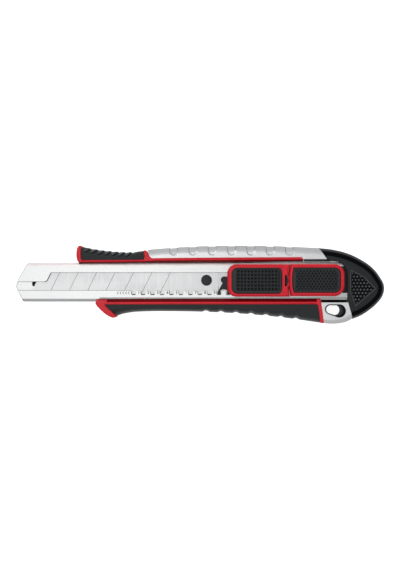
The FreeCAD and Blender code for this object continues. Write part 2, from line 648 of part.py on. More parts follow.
def make_grips(trims):
    """Soft grips between the trims' posts, laid over the casting's core bars."""
    upper = slab(
        "upper_grip_blank", "0", "Dims.grip_front", (-64.5, 13.9), [(-64.5, 20.7)],
        [(-61.6, 20.2), (-55.1, 18.8), (-44.3, 18.0), (-37.0, 18.0), (-30.3, 18.65)], [(-30.3, 13.9)],
    )
    round_edges(upper, "Dims.edge_round", at_level(dim("grip_front"), ((-64, -31), (17, 22))))
    round_edges(upper, "Dims.edge_round", at_level(0.0, ((-64, -31), (17, 22))))
    lower = slab(
        "lower_grip_blank", "0", "Dims.grip_front - 0.1", (-51.9, -11.15), [(63.75, -10.75)],
        [(64.85, -20.7)],
        [(48.6, -18.4), (33.5, -16.7), (16.2, -15.4), (-1.1, -14.7), (-18.4, -14.5), (-33.5, -14.8),
         (-40.0, -15.9), (-45.3, -17.35)],
    )
    round_edges(lower, "Dims.edge_round - 1.4", at_level(dim("grip_front") - 0.1, ((-46, 60), (-21, -14))))
    round_edges(lower, "Dims.edge_round - 1.4", at_level(0.0, ((-46, 60), (-21, -14))))
    for name, blank, box in (
        ("upper_grip", upper, (("-63.5", "-26"), ("Dims.trough_high", "Dims.core_high"))),
        ("lower_grip", lower, (("-52", "66.5"), ("Dims.core_low", "Dims.trough_low"))),
    ):
        core = block(name + "_core", *box, ("Dims.core_back", "Dims.core_front"))
        node(cut(name, blank, fuse(name + "_cuts", core, trims[name])), name)


def tapered_slot(name, back, front, small, large):
    """Two circles (x, y, radius) and the hull between them, extruded along Z."""
    (x0, y0, r0), (x1, y1, r1) = small, large
    run, rise = x1 - x0, y1 - y0
    length = (run * run + rise * rise) ** 0.5
    tilt = (r0 - r1) / length
    side = (1 - tilt * tilt) ** 0.5
    ux, uy = run / length, rise / length

    def touch(x, y, r, sign):
        return (x + r * (tilt * ux - sign * side * uy), y + r * (tilt * uy + sign * side * ux))
    return slab(
        name, back, front, touch(x0, y0, r0, 1), [(x0 - r0 * ux, y0 - r0 * uy), touch(x0, y0, r0, -1)],
        [touch(x1, y1, r1, -1)], [(x1 + r1 * ux, y1 + r1 * uy), touch(x1, y1, r1, 1)],
    )


def make_handle(upper_trim, lower_trim):
    rail = slab(
        "upper_rail", "Dims.casting_back", "Dims.casting_front", (-26.6, 12.0), [(-28.5, 18.95)],
        [(-18.4, 19.75), (-1.1, 20.95), (22.7, 21.3), (44.3, 20.9), (64.3, 19.85)], [(68.6, 13.7)],
        [(68.6, 12.0)],
    )
    for level in ("casting_front", "casting_back"):
        round_edges(rail, "Dims.edge_round", at_level(dim(level), ((-27, 64), (18.9, 22))))
    lug = slab(
        "lanyard_lug", "Dims.casting_back", "Dims.casting_front - 0.2", (65.2, -9.72), [(80.0, -9.72)],
        [(82.5, -18.45)], [(78.9, -20.35), (74.6, -21.2), (70.5, -21.3), (66.85, -20.95)],
    )
    for level in (dim("casting_front") - 0.2, dim("casting_back")):
        round_edges(lug, "2.8", at_level(level, ((67, 82), (-22, -19))))
    upper_core = block(
        "rail_core", ("-63.5", "-26"), ("Dims.trough_high", "Dims.core_high"),
        ("Dims.core_back", "Dims.core_front"),
    )
    lower_core = block(
        "lug_core", ("-52", "66.5"), ("Dims.core_low", "Dims.trough_low"),
        ("Dims.core_back", "Dims.core_front"),
    )
    floor = slab(
        "floor_plate", "Dims.floor_back", "Dims.floor_front", (-63.5, 12.1), [(72.7, 12.1)], [(77.2, 10.3)],
        [(79.1, 5.9)], [(79.1, -9.7)], [(-52.0, -9.7)],
    )
    bed = slab(
        "channel_bed", "Dims.floor_back", "Dims.bed", (-63.5, 12.1), [(-17.0, 12.1)], [(-17.0, -9.7)],
        [(-52.0, -9.7)],
    )
    spigot = [
        block(
            "spigot_floor", ("66", "Dims.spigot_rear"), ("Dims.trough_low", "Dims.spigot_high"),
            ("Dims.spigot_back", "Dims.floor_front"),
        ),
        block(
            "spigot_wall", ("66", "Dims.spigot_rear"), ("Dims.trough_high", "Dims.spigot_high"),
            ("Dims.spigot_back", "Dims.core_front"),
        ),
    ]
    rail_cuts = fuse(
        "rail_cuts",
        block("rail_back_seat", ("-70", "70"), ("11.9", "Dims.spigot_high + 0.05"), ("0.5", "16")),
        block("rail_tongue_seat", ("55.5", "70"), ("12.2", "13.95"), ("Dims.core_front", "16.5")),
        block("rail_core_seat", ("-70", "70"), ("13", "Dims.core_high + 0.02"), ("Dims.core_back", "Dims.core_front")),
        upper_trim,
    )
    node(cut("spine_rail", rail, rail_cuts), "spine_rail")
    lug_cuts = fuse(
        "lug_cuts", tapered_slot("lanyard_cut", "0", "17", (70.2, -13.4, 2.75), (75.2, -14.3, 3.6)),
        block("lug_core_seat", ("60", "66.55"), ("-13", "-9"), ("Dims.core_back - 0.02", "Dims.core_front + 0.02")),
        lower_trim,
    )
    node(cut("lanyard_block", lug, lug_cuts), "lanyard_block")
    web = block(
        "rail_web", ("-26.4", "66.5"), ("Dims.trough_high", "Dims.spigot_high"),
        ("Dims.floor_back", "Dims.core_front"),
    )
    long_core = block(
        "rail_key", ("-26", "60"), ("Dims.trough_high", "Dims.core_high"),
        ("Dims.core_back", "Dims.core_front"),
    )
    blank = fuse("handle_blank", upper_core, lower_core, floor, bed, long_core, web, *spigot)
    # the trims keep clear of the cores, so only the posts and the bars' back edges are taken out
    cuts = [upper_trim, lower_trim]
    for i in range(int(dim("rivet_count"))):
        x = f"Dims.rivet_first + {i} * Dims.rivet_pitch"
        cuts.append(upright(f"rivet_bore{i}", x, "1.2", ("0", "9"), "Dims.rivet_radius"))
        cuts.append(
            upright(f"rivet_counterbore{i}", x, "1.2", ("0", "Dims.floor_back + 1.4"), "Dims.rivet_head + 0.3")
        )
    node(cut("handle_body", blank, fuse("handle_cuts", *cuts)), "handle_body")

    outer = tapered_slot(
        "liner_outer", "Dims.casting_back + 0.1", "15.25", (70.2, -13.4, 2.75), (75.2, -14.3, 3.6),
    )
    inner = tapered_slot("liner_inner", "0", "17", (70.35, -13.45, 2.2), (74.3, -14.1, 2.8))
    node(cut("lanyard_liner", outer, inner), "lanyard_liner")


def make_rivets():
    rivets = []
    for i in range(int(dim("rivet_count"))):
        x = f"Dims.rivet_first + {i} * Dims.rivet_pitch"
        head = upright(
            f"rivet_head{i}", x, "1.2", ("Dims.floor_back + 0.3", "Dims.floor_back + 1.4"), "Dims.rivet_head",
        )
        shank = upright(
            f"rivet_shank{i}", x, "1.2", ("Dims.floor_back + 1", "Dims.channel_back + Dims.sheet - 0.05"),
            "Dims.rivet_radius - 0.02",
        )
        rivets.append(fuse(f"rivet{i}", head, shank))
    node(doc.addObject("Part::Compound", "channel_rivets"), "channel_rivets").Links = rivets


# ---- magazine ----------------------------------------------------------------------------------------------

def make_magazine():
    shell = block(
        "tray_shell", ("Dims.magazine_front + 0.1", "Dims.tray_rear"), ("Dims.tray_low", "Dims.tray_high"),
        ("Dims.tray_floor", "Dims.bed"),
    )
    hollow = block(
        "tray_hollow", ("Dims.magazine_front + 0.1 + Dims.tray_wall", "Dims.tray_rear + 1"),
        ("Dims.tray_low + Dims.tray_wall", "Dims.tray_high - Dims.tray_wall"),
        ("Dims.tray_floor + Dims.tray_wall", "Dims.bed + 1"),
    )
    node(cut("magazine_tray", shell, hollow), "magazine_tray")
    make_bow("magazine_spring", 5.0, 65.0, -1.5, 5.0, dim("tray_floor") + dim("tray_wall") + 0.02, 1.6, 0.3)
    spares = []
    for i in range(3):
        level = f"Dims.spare_level + {i} * Dims.spare_pitch"
        body = doc.addObject("PartDesign::Body", f"spare_blank{i}")
        body.Label = f"spare_blank{i}"
        sk = sketch(body, "XY_Plane", level)
        blade_outline(sk, dim("spare_rear") - dim("blade_length"))
        feature(body, "Pad", sk, "Dims.blade_thick")
        sk = sketch(body, "XY_Plane", f"{level} + Dims.blade_thick")
        circle(sk, "Dims.spare_rear - 6.5", "Dims.peg_across", "Dims.peg_radius + 0.2")
        feature(body, "Pocket", sk, "Dims.blade_thick")
        spares.append(body)
    node(doc.addObject("Part::Compound", "spare_blades"), "spare_blades").Links = spares


# ---- tail cap ----------------------------------------------------------------------------------------------

def make_cap():
    body = doc.addObject("PartDesign::Body", "cap_shell")
    sk = sketch(body, "XY_Plane")
    trace(
        sk, (64.55, 19.85), [
            (72.4, 18.95), (81.1, 16.6), (89.7, 12.2), (94.6, 8.1), (98.3, 3.0), (100.0, -2.2), (98.6, -7.4),
            (95.2, -11.2), (91.4, -14.2), (87.2, -16.9), (82.75, -18.75),
        ],
        [(80.25, -9.6)], [(79.5, -9.6)], [(79.5, 6.1)], [(77.65, 10.65), (73.1, 12.5)], [(69.7, 12.5)],
        [(68.85, 13.7)],
    )
    feature(body, "Pad", sk, "Dims.cap_front")

    def outer(edge):
        middle = edge.valueAt((edge.FirstParameter + edge.LastParameter) / 2)
        flat = at_level(dim("cap_front"))(edge) or at_level(0.0)(edge)
        return flat and middle.x > 84
    round_edges(body, "Dims.cap_round", outer)
    # inside, the cap is hollow for the spigot and the ends of the spare blades
    sk = sketch(body, "XY_Plane", "Dims.cap_roof")
    trace(
        sk, (68.0, 11.0), [(68.0, 13.8)], [(83.0, 13.8)], [(89.0, 10.9)], [(93.6, 6.0)], [(96.0, -0.5)],
        [(95.0, -6.0)], [(90.5, -10.9)], [(79.0, -10.9)], [(79.0, -9.0)], [(70.0, -9.0)],
    )
    feature(body, "Pocket", sk, "Dims.cap_roof - Dims.cap_wall")
    tongue = block("cap_tongue", ("56.2", "70.2"), ("12.5", "13.7"), ("Dims.core_front + 0.2", "15.4"))
    node(fuse("tail_cap", body, tongue), "tail_cap")


# ---- build, check, write -----------------------------------------------------------------------------------

make_channel()
make_blade()
make_carrier()
make_peg()
make_ratchet()
make_bow("carrier_spring", 28.0, 62.0, -0.8, 5.4, dim("channel_back") + dim("sheet") + 0.05, 1.25, 0.3)
make_coil()
make_slider()
make_lever()
upper_trim, lower_trim = make_upper_trim(), make_lower_trim()
make_grips({"upper_grip": upper_trim, "lower_grip": lower_trim})
make_handle(upper_trim, lower_trim)
make_rivets()
make_magazine()
make_cap()
doc.recompute()

for obj in doc.Objects:
    if "Invalid" in obj.State or "Error" in obj.State:
        raise RuntimeError(f"{obj.Name} ({obj.Label}) is {obj.State}")

os.makedirs("parts", exist_ok=True)
for obj in NODES:
    shape = obj.Shape
    if shape.isNull() or not shape.isValid() or not shape.Solids:
        raise RuntimeError(f"{obj.Label} has no valid solid")
    shape.exportStep(f"parts/{obj.Label}.step")
    box = shape.BoundBox
    print(
        f"{obj.Label:16s} {len(shape.Solids)} solid(s) {shape.Volume:9.1f} mm3  "
        f"x {box.XMin:7.2f} {box.XMax:7.2f}  y {box.YMin:7.2f} {box.YMax:7.2f}  "
        f"z {box.ZMin:6.2f} {box.ZMax:6.2f}"
    )
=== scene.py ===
import math

import bmesh
import bpy
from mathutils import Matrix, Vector


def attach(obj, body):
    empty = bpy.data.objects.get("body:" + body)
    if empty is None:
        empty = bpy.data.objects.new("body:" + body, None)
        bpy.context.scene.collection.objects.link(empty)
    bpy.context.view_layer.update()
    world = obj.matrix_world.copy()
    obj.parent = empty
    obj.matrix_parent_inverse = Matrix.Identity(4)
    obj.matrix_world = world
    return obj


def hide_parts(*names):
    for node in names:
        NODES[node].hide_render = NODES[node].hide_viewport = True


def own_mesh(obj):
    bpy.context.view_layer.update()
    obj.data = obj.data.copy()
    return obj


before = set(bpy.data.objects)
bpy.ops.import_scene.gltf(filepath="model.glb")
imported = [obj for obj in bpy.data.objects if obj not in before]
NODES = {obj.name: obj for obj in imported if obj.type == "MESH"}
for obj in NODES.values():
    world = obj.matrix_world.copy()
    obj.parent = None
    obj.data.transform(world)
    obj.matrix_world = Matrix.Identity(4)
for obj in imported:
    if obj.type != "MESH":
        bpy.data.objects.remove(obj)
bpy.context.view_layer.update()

MM = 0.001


# ---- materials -----------------------------------------------------------------------------------

def material(
    name, base, rough, metal=0.0, grain=1400.0, stretch=(1, 1, 1), tint=0.12, rough_spread=0.08, relief=0.03,
    coat=0.0, sheen=0.0, specular=0.5, cloud=70.0, cloud_tint=0.10, pale_edges=0.0, anisotropic=0.0,
):
    """A procedural finish: fine grain and soft clouding, with paler convex edges where asked for."""
    made = bpy.data.materials.new(name)
    made.use_nodes = True
    tree = made.node_tree
    add, join = tree.nodes.new, tree.links.new
    shader = tree.nodes["Principled BSDF"]
    shader.inputs["Metallic"].default_value = metal
    shader.inputs["Coat Weight"].default_value = coat
    shader.inputs["Coat Roughness"].default_value = 0.12
    shader.inputs["Sheen Weight"].default_value = sheen
    shader.inputs["Sheen Roughness"].default_value = 0.5
    shader.inputs["Specular IOR Level"].default_value = specular
    shader.inputs["Anisotropic"].default_value = anisotropic
    place = add("ShaderNodeTexCoord")
    scale = add("ShaderNodeMapping")
    scale.inputs["Scale"].default_value = stretch
    join(place.outputs["Object"], scale.inputs["Vector"])
    fine = add("ShaderNodeTexNoise")
    fine.inputs["Scale"].default_value = grain
    fine.inputs["Detail"].default_value = 5.0
    join(scale.outputs["Vector"], fine.inputs["Vector"])
    broad = add("ShaderNodeTexNoise")
    broad.inputs["Scale"].default_value = cloud
    broad.inputs["Detail"].default_value = 3.0
    join(place.outputs["Object"], broad.inputs["Vector"])

    def spread(noise, low, high):
        node = add("ShaderNodeMapRange")
        node.inputs["From Min"].default_value = 0.3
        node.inputs["From Max"].default_value = 0.7
        node.inputs["To Min"].default_value = low
        node.inputs["To Max"].default_value = high
        join(noise.outputs["Fac"], node.inputs["Value"])
        return node
    brightness = add("ShaderNodeMath")
    brightness.operation = "MULTIPLY"
    join(spread(fine, 1 - tint, 1 + tint).outputs["Result"], brightness.inputs[0])
    join(spread(broad, 1 - cloud_tint, 1 + cloud_tint).outputs["Result"], brightness.inputs[1])
    colour = add("ShaderNodeVectorMath")
    colour.operation = "SCALE"
    colour.inputs[0].default_value = base
    join(brightness.outputs["Value"], colour.inputs["Scale"])
    last = colour.outputs["Vector"]
    # Convex edges, found by Pointiness, are mixed towards a paler copy of the base colour.
    if pale_edges:
        edges = add("ShaderNodeNewGeometry")
        ramp = add("ShaderNodeMapRange")
        ramp.inputs["From Min"].default_value = 0.53
        ramp.inputs["From Max"].default_value = 0.62
        ramp.inputs["To Max"].default_value = pale_edges
        join(edges.outputs["Pointiness"], ramp.inputs["Value"])
        mix = add("ShaderNodeMix")
        mix.data_type = "RGBA"
        mix.inputs["B"].default_value = (*[min(1.0, c * 1.6 + 0.06) for c in base], 1)
        join(ramp.outputs["Result"], mix.inputs["Factor"])
        join(last, mix.inputs["A"])
        last = mix.outputs["Result"]
    join(last, shader.inputs["Base Color"])
    rough_sum = add("ShaderNodeMath")
    rough_sum.operation = "ADD"
    join(spread(fine, rough - rough_spread, rough + rough_spread).outputs["Result"], rough_sum.inputs[0])
    join(spread(broad, -rough_spread / 2, rough_spread / 2).outputs["Result"], rough_sum.inputs[1])
    join(rough_sum.outputs["Value"], shader.inputs["Roughness"])
    if relief:
        bump = add("ShaderNodeBump")
        bump.inputs["Strength"].default_value = 1.0
        bump.inputs["Distance"].default_value = relief * MM
        join(fine.outputs["Fac"], bump.inputs["Height"])
        join(bump.outputs["Normal"], shader.inputs["Normal"])
    return made


STEEL = material(
    "channel_steel", (0.84, 0.84, 0.83), 0.28, metal=1.0, grain=900, stretch=(0.05, 1.6, 1.6), tint=0.05,
    rough_spread=0.05, relief=0.003, cloud_tint=0.03,
)
BLADE = material(
    "blade_steel", (0.76, 0.76, 0.755), 0.33, metal=1.0, grain=1100, stretch=(1.5, 0.08, 1.5), tint=0.06,
    rough_spread=0.07, relief=0.004, anisotropic=0.3, cloud_tint=0.05,
)
SPRING = material("spring_steel", (0.45, 0.46, 0.48), 0.34, metal=1.0, grain=1600, tint=0.12, relief=0.006)
CARRIER = material("carrier_metal", (0.74, 0.74, 0.735), 0.34, metal=1.0, grain=1300, tint=0.08, relief=0.008)
SILVER = material(
    "satin_silver", (0.85, 0.85, 0.845), 0.34, metal=0.82, grain=2600, tint=0.07, rough_spread=0.05,
    relief=0.008, coat=0.25, cloud_tint=0.03, pale_edges=0.35,
)
RED = material(
    "red_plastic", (0.51, 0.005, 0.015), 0.36, grain=2200, tint=0.08, rough_spread=0.05, relief=0.006,
    coat=0.06, cloud_tint=0.06, pale_edges=0.2, specular=0.32,
)
SOFT = material(
    "soft_black", (0.0105, 0.0125, 0.0135), 0.52, grain=2600, tint=0.25, rough_spread=0.08, relief=0.03,
    sheen=0.30, cloud_tint=0.12, specular=0.30, pale_edges=0.12,
)
PAD = material(
    "pad_black", (0.0155, 0.0175, 0.0185), 0.5, grain=2800, tint=0.25, rough_spread=0.08, relief=0.02,
    sheen=0.03, cloud_tint=0.12, specular=0.30, pale_edges=0.25,
)
CAP_RIM = material(
    "cap_gloss", (0.003, 0.0035, 0.004), 0.24, grain=2400, tint=0.2, rough_spread=0.05, relief=0.004,
    cloud_tint=0.1, specular=0.7, coat=0.8,
)
CAP_FACE = material(
    "cap_matt", (0.010, 0.012, 0.013), 0.5, grain=3000, tint=0.22, rough_spread=0.07, relief=0.02,
    cloud_tint=0.1, specular=0.30, pale_edges=0.2,
)
LINER = material("liner_black", (0.004, 0.004, 0.005), 0.5, grain=2000, tint=0.15, relief=0.008, specular=0.1)
BLACK = material(
    "latch_black", (0.009, 0.011, 0.014), 0.34, grain=2000, tint=0.15, relief=0.008, specular=0.35,
)
TRAY = material("tray_grey", (0.06, 0.06, 0.065), 0.5, grain=1800, tint=0.15, relief=0.015)
INK = material("etched_mark", (0.25, 0.25, 0.255), 0.55, metal=0.6, grain=3000, tint=0.2, relief=0.01)
FLOOR = material(
    "studio_floor", (0.60, 0.60, 0.60), 0.6, grain=400, tint=0.004, rough_spread=0.02, relief=0.0, cloud=6,
    cloud_tint=0.004, specular=0.2,
)
FLOOR.node_tree.nodes["Principled BSDF"].inputs["Emission Color"].default_value = (1, 1, 1, 1)
FLOOR.node_tree.nodes["Principled BSDF"].inputs["Emission Strength"].default_value = 0.85
# Painted shade: a darker copy of the red for the bead sides that face the channel, where shade falls.
RED_PAINTED_SHADE = material(
    "red_bead_painted_shade", (0.13, 0.001, 0.003), 0.40, grain=2200, tint=0.1, rough_spread=0.05, relief=0.006,
    specular=0.12,
)
# Painted shade: a near-black, barely reflective copy of the cap black for the band between the cap's gloss rim
# and its matt face.
CAP_PAINTED_SHADE = material(
    "cap_band_painted_shade", (0.0015, 0.0017, 0.002), 0.6, grain=2400, tint=0.2, relief=0.004, specular=0.06,
)
# Painted highlight: a paler copy of the cap black for the stud tops and the border's crest.
CAP_STUD_PAINTED_HIGHLIGHT = material(
    "cap_stud_top_painted_highlight", (0.060, 0.064, 0.066), 0.42, grain=3000, tint=0.22, rough_spread=0.07, relief=0.02,
    specular=0.5,
)
# Painted shade: a darker copy of the cap black for the floor between the studs.
CAP_PIT_PAINTED_SHADE = material("cap_pit_floor_painted_shade", (0.004, 0.0045, 0.005), 0.6, grain=2800, tint=0.2, relief=0.01, specular=0.2)
# Painted shade: a darker copy of the pad black for the floors of the pad pits and the finger grip's grooves.
PIT_PAINTED_SHADE = material("pad_pit_painted_shade", (0.007, 0.008, 0.009), 0.65, grain=2800, tint=0.2, relief=0.01, specular=0.12)
# Painted highlight: a much paler copy of the soft black for the crests of the finger grip's ribs.
RIB_PAINTED_HIGHLIGHT = material(
    "soft_rib_painted_highlight", (0.060, 0.063, 0.066), 0.48, grain=2600, tint=0.25, rough_spread=0.08, relief=0.03,
    sheen=0.25, cloud_tint=0.2, specular=0.35,
)
# Painted shade: darker steel for the sunken faces of the blade's score lines.
SCORE_PAINTED_SHADE = material("score_groove_painted_shade", (0.33, 0.33, 0.34), 0.45, metal=1.0, grain=1800, tint=0.1, relief=0.005)
# Painted shade: grey for thin ribbons along the sheet's cut edges, the blade nose and the rack teeth.
EDGE_PAINTED_SHADE = material("sheet_edge_painted_shade", (0.30, 0.30, 0.30), 0.5, metal=0.5, grain=1800, tint=0.12, relief=0.006)
EDGE_DARK = material("shaded_edge", (0.07, 0.07, 0.07), 0.5, metal=0.3, grain=1800, tint=0.12, relief=0.006)
# Painted shade: grey for the rims of the rail's thumb flutes and for the ribbon on the channel's lower fold.
LINE_PAINTED_SHADE = material("flute_and_fold_painted_shade", (0.42, 0.42, 0.42), 0.42, metal=0.8, grain=2600, tint=0.08, relief=0.008)
# Painted light: a pale, pinkish, barely metallic copy of the steel for the channel's upper fold, a painted
# reflection of the red bead and painted light on the fold.
FOLD_PAINTED_LIGHT = material(
    "fold_painted_reflection", (0.86, 0.79, 0.78), 0.42, metal=0.25, grain=900, stretch=(0.05, 1.6, 1.6),
    tint=0.04, relief=0.003,
)

CAD_FINISH = {
    "blade_channel": STEEL, "blade": BLADE, "spare_blades": BLADE, "blade_carrier": CARRIER,
    "blade_peg": BLACK, "ratchet_spring": BLACK, "carrier_spring": SPRING, "lever_spring": SPRING,
    "slider_frame": RED, "slider_screws": SPRING, "lever_frame": RED, "lever_pin": SPRING,
    "handle_body": SILVER, "lanyard_block": SILVER, "lanyard_liner": LINER, "channel_rivets": SPRING,
    "magazine_tray": TRAY, "magazine_spring": SPRING,
}
for name, finish in CAD_FINISH.items():
    mesh = NODES[name].data
    mesh.materials.clear()
    mesh.materials.append(finish)


# ---- second finishes, painted light and painted shade on single CAD faces, limits in millimetres ---

HINGE_END = 47.35
HINGE_SIDES = (-0.9, 5.05)
UPPER_FOLD = {"above_y": 10.0, "above_z": 12.2, "lean": (0.05, 0.98)}
SCORED = {"floor": 12.80, "face": 12.99, "above_y": -5.7}

lever_mesh = NODES["lever_frame"].data
lever_mesh.materials.append(BLACK)
for face in lever_mesh.polygons:
    if face.center.x < HINGE_END * MM and HINGE_SIDES[0] * MM < face.center.y < HINGE_SIDES[1] * MM:
        face.material_index = 1

# The upper fold faces take the painted reflection and light.
channel_mesh = NODES["blade_channel"].data
channel_mesh.materials.append(FOLD_PAINTED_LIGHT)
for face in channel_mesh.polygons:
    high = face.center.y > UPPER_FOLD["above_y"] * MM and face.center.z > UPPER_FOLD["above_z"] * MM
    if high and UPPER_FOLD["lean"][0] < face.normal.y < UPPER_FOLD["lean"][1]:
        face.material_index = 1

# Faces sunk into the score lines take the painted shade.
blade_mesh = NODES["blade"].data
blade_mesh.materials.append(SCORE_PAINTED_SHADE)
for face in blade_mesh.polygons:
    sunk = SCORED["floor"] * MM < face.center.z < SCORED["face"] * MM
    if sunk and face.center.y > SCORED["above_y"] * MM:
        face.material_index = 1


# ---- mesh helpers, in millimetres ----------------------------------------------------------------

def piece(name, parts, finishes, body, replaced, sharp=38.0):
    """One object from (vertices, faces) or (vertices, faces, finish numbers) parts."""
    bm = bmesh.new()
    for part in parts:
        verts, faces = part[0], part[1]
        numbers = part[2] if len(part) > 2 else [0] * len(faces)
        made = [bm.verts.new(Vector(v) * MM) for v in verts]
        for face, number in zip(faces, numbers):
            bm.faces.new([made[i] for i in face]).material_index = number
    bmesh.ops.remove_doubles(bm, verts=bm.verts, dist=1e-7)
    bmesh.ops.dissolve_degenerate(bm, edges=bm.edges, dist=1e-8)
    bmesh.ops.recalc_face_normals(bm, faces=bm.faces)
    mesh = bpy.data.meshes.new(name)
    bm.to_mesh(mesh)
    bm.free()
    for finish in finishes:
        mesh.materials.append(finish)
    mesh.shade_smooth()
    mesh.set_sharp_from_angle(angle=math.radians(sharp))
    obj = bpy.data.objects.new(name, mesh)
    bpy.context.scene.collection.objects.link(obj)
    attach(obj, body)
    if replaced:
        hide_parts(*replaced)
    return obj


def loft(rings):
    """Skins closed rings of equal length and closes both ends."""
    count = len(rings[0])
    verts = [p for ring in rings for p in ring]
    faces = []
    for k in range(len(rings) - 1):
        for i in range(count):
            j = (i + 1) % count
            faces.append((k * count + i, k * count + j, (k + 1) * count + j, (k + 1) * count + i))
    faces.append(tuple(range(count)))
    faces.append(tuple(range((len(rings) - 1) * count, len(rings) * count)))
    return verts, faces


def smooth(points):
    """A smooth function through (x, y) points."""
    xs, ys = zip(*points)
    last = len(xs) - 1
    slopes = [
        (ys[min(i + 1, last)] - ys[max(i - 1, 0)]) / (xs[min(i + 1, last)] - xs[max(i - 1, 0)])
        for i in range(last + 1)
    ]

    def value(x):
        x = min(max(x, xs[0]), xs[last])
        i = max(k for k in range(last) if xs[k] <= x)
        h = xs[i + 1] - xs[i]
        t = (x - xs[i]) / h
        return (
            (1 + 2 * t) * (1 - t) ** 2 * ys[i] + t * (1 - t) ** 2 * h * slopes[i]
            + t * t * (3 - 2 * t) * ys[i + 1] - t * t * (1 - t) * h * slopes[i + 1]
        )
    return value


def ease(t):
    """A smooth step from 0 to 1 as t goes from 0 to 1."""
    t = min(max(t, 0.0), 1.0)
    return t * t * (3 - 2 * t)


def quarter_turn(step, steps):
    """Sine and cosine of a step of a quarter turn."""
    angle = step / steps * math.pi / 2
    return math.sin(angle), math.cos(angle)


def section(y0, y1, z0, z1, ry, rz, flat, arc, side):
    """A YZ section rounded on its y1 side, as (y, z, outward y, outward z)."""
    s = 1 if y1 > y0 else -1
    ring = [(y0 + (y1 - s * ry - y0) * i / flat, z0, 0, -1) for i in range(flat)]
    for i in range(arc):
        sine, cosine = quarter_turn(i, arc)
        ring.append((y1 - s * ry * (1 - sine), z0 + rz * (1 - cosine), s * sine, -cosine))
    ring += [(y1, z0 + rz + (z1 - z0 - 2 * rz) * i / side, s, 0) for i in range(side)]
    for i in range(arc):
        sine, cosine = quarter_turn(i, arc)
        ring.append((y1 - s * ry * (1 - cosine), z1 - rz * (1 - sine), s * cosine, sine))
    ring += [(y1 - s * ry + (y0 - y1 + s * ry) * i / flat, z1, 0, 1) for i in range(flat + 1)]
    ring += [(y0, z1 + (z0 - z1) * i / 4, -s, 0) for i in range(1, 4)]
    return ring


def bar(stations, ring_at, left, right, push):
    """Lofts sections between two slanted ends. What push returns is how far the surface sinks."""
    rings = []
    for k in range(stations + 1):
        u = k / stations
        ring = []
        for y, z, ny, nz in ring_at(u):
            x = left(y) + u * (right(y) - left(y))
            d = push(x, y, z, ny, nz)
            ring.append((x, y - ny * d, z - nz * d))
        rings.append(ring)
    return loft(rings)


def plate(outline, z0, z1, edge, steps=3):
    """An upright plate with rounded rims: (x, y) corners between two levels."""
    middle = Vector((sum(p[0] for p in outline), sum(p[1] for p in outline))) / len(outline)
    area = sum(
        a[0] * b[1] - b[0] * a[1] for a, b in zip(outline, outline[1:] + outline[:1])
    )
    turn = 1 if area > 0 else -1
    count = len(outline)

    def inset(distance):
        moved = []
        for i, p in enumerate(outline):
            before = Vector(outline[i - 1])
            here, after = Vector(p), Vector(outline[(i + 1) % count])
            a, b = (here - before).normalized(), (after - here).normalized()
            na, nb = Vector((-a.y, a.x)) * turn, Vector((-b.y, b.x)) * turn
            n = (na + nb).normalized()
            moved.append(here + n * distance / max(0.5, n.dot(na)))
        return moved
    profile = []
    for i in range(steps + 1):
        sine, cosine = quarter_turn(i, steps)
        profile.append((edge * (1 - sine), z0 + edge * (1 - cosine)))
    for i in range(steps + 1):
        sine, cosine = quarter_turn(i, steps)
        profile.append((edge * (1 - cosine), z1 - edge * (1 - sine)))
    return loft([[(p.x, p.y, z) for p in inset(d)] for d, z in profile])


def relief_sheet(x0, x1, y0, y1, step, height, floor):
    """A fine height field over the cells where height(x, y) is not None, with walls down to a floor."""
    nx, ny = round((x1 - x0) / step), round((y1 - y0) / step)
    index, verts, faces = {}, [], []
    grid = [[height(x0 + i * step, y0 + j * step) for j in range(ny + 1)] for i in range(nx + 1)]

    def vertex(i, j):
        if (i, j) not in index:
            index[i, j] = len(verts)
            verts.append((x0 + i * step, y0 + j * step, grid[i][j]))
        return index[i, j]
    used = {}
    for i in range(nx):
        for j in range(ny):
            corners = [(i, j), (i + 1, j), (i + 1, j + 1), (i, j + 1)]
            if all(grid[a][b] is not None for a, b in corners):
                ids = [vertex(a, b) for a, b in corners]
                faces.append(tuple(ids))
                for a, b in zip(ids, ids[1:] + ids[:1]):
                    used[a, b] = used.get((a, b), 0) + 1
    low = {}
    for a, b in list(used):
        if (b, a) not in used:
            for v in (a, b):
                if v not in low:
                    low[v] = len(verts)
                    verts.append((verts[v][0], verts[v][1], floor))
            faces.append((b, a, low[a], low[b]))
    return verts, faces


def ribbon(points, width, side, level):
    """A flat ribbon along a line, lying to its left (side 1) or right (side -1)."""
    rails = []
    for i, p in enumerate(points):
        a, b = Vector(points[max(i - 1, 0)]), Vector(points[min(i + 1, len(points) - 1)])
        t = (b - a).normalized()
        rails.append((p, (p[0] - t.y * width * side, p[1] + t.x * width * side)))
    verts, faces = [], []
    for p, q in rails:
        verts += [(*p, level), (*q, level), (*q, level - 0.03), (*p, level - 0.03)]
    for i in range(len(points) - 1):
        for k in range(4):
            faces.append((4 * i + k, 4 * i + (k + 1) % 4, 4 * i + 4 + (k + 1) % 4, 4 * i + 4 + k))
    end = 4 * len(points)
    faces += [(0, 1, 2, 3), (end - 4, end - 3, end - 2, end - 1)]
    return verts, faces


def inside(x, y, corners):
    """Distance inside a convex polygon given anticlockwise, negative outside."""
    best = 1e9
    for (ax, ay), (bx, by) in zip(corners, corners[1:] + corners[:1]):
        length = math.hypot(bx - ax, by - ay)
        best = min(best, ((bx - ax) * (y - ay) - (by - ay) * (x - ax)) / length)
    return best


def inside_rounded(x, y, x0, x1, y0, y1, r):
    """Distance inside a rounded rectangle, negative outside."""
    dx = max(x0 + r - x, x - x1 + r)
    dy = max(y0 + r - y, y - y1 + r)
    if dx > 0 and dy > 0:
        return r - math.hypot(dx, dy)
    return r - max(dx, dy)


# ---- spine rail ----------------------------------------------------------------------------------

